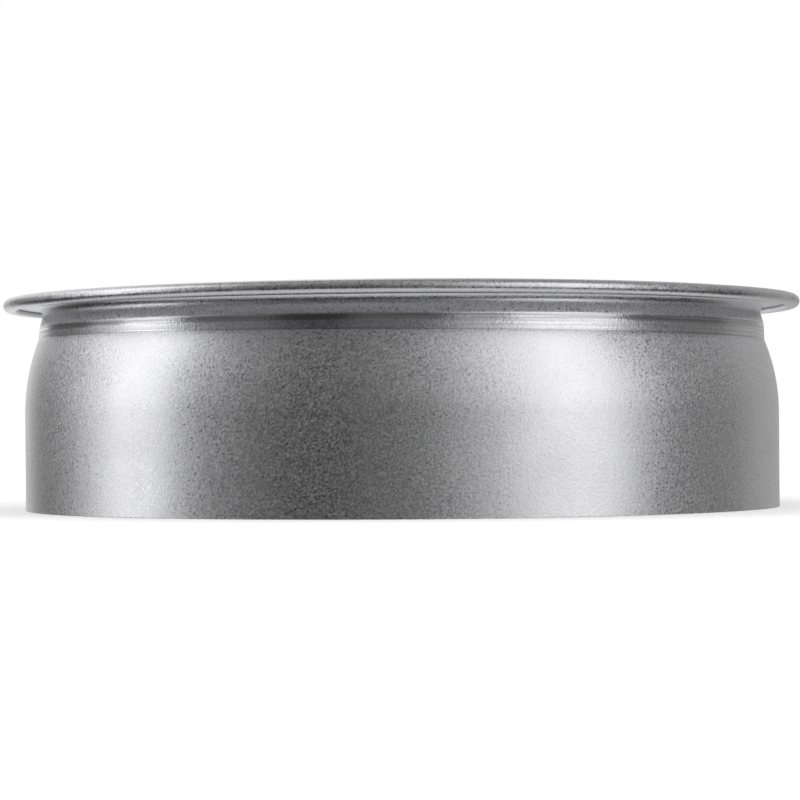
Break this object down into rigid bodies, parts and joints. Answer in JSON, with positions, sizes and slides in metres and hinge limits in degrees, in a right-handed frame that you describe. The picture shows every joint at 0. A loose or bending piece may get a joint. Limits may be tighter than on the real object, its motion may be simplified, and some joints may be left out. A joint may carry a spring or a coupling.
{
  "type": "duct end cap",
  "caption": "Round sheet-metal end cap for a duct: a short collar with a rolled neck, closed by a flat disc hemmed over its flange.",
  "frame": {"origin": "centre of the open mouth, on the plane of the collar's cut edge", "axes": "+Z along the cap's axis, from the open mouth to the closed end; X and Y are free, because the cap is round"},
  "size_m": [0.158, 0.158, 0.0418],
  "materials": {
    "coated_sheet": "satin hot-dip coated steel sheet with a fine speckle, burnished where the neck was rolled"
  },
  "bodies": {
    "root": {"collar": "coated_sheet", "end_disc": "coated_sheet"}
  },
  "joints": []
}
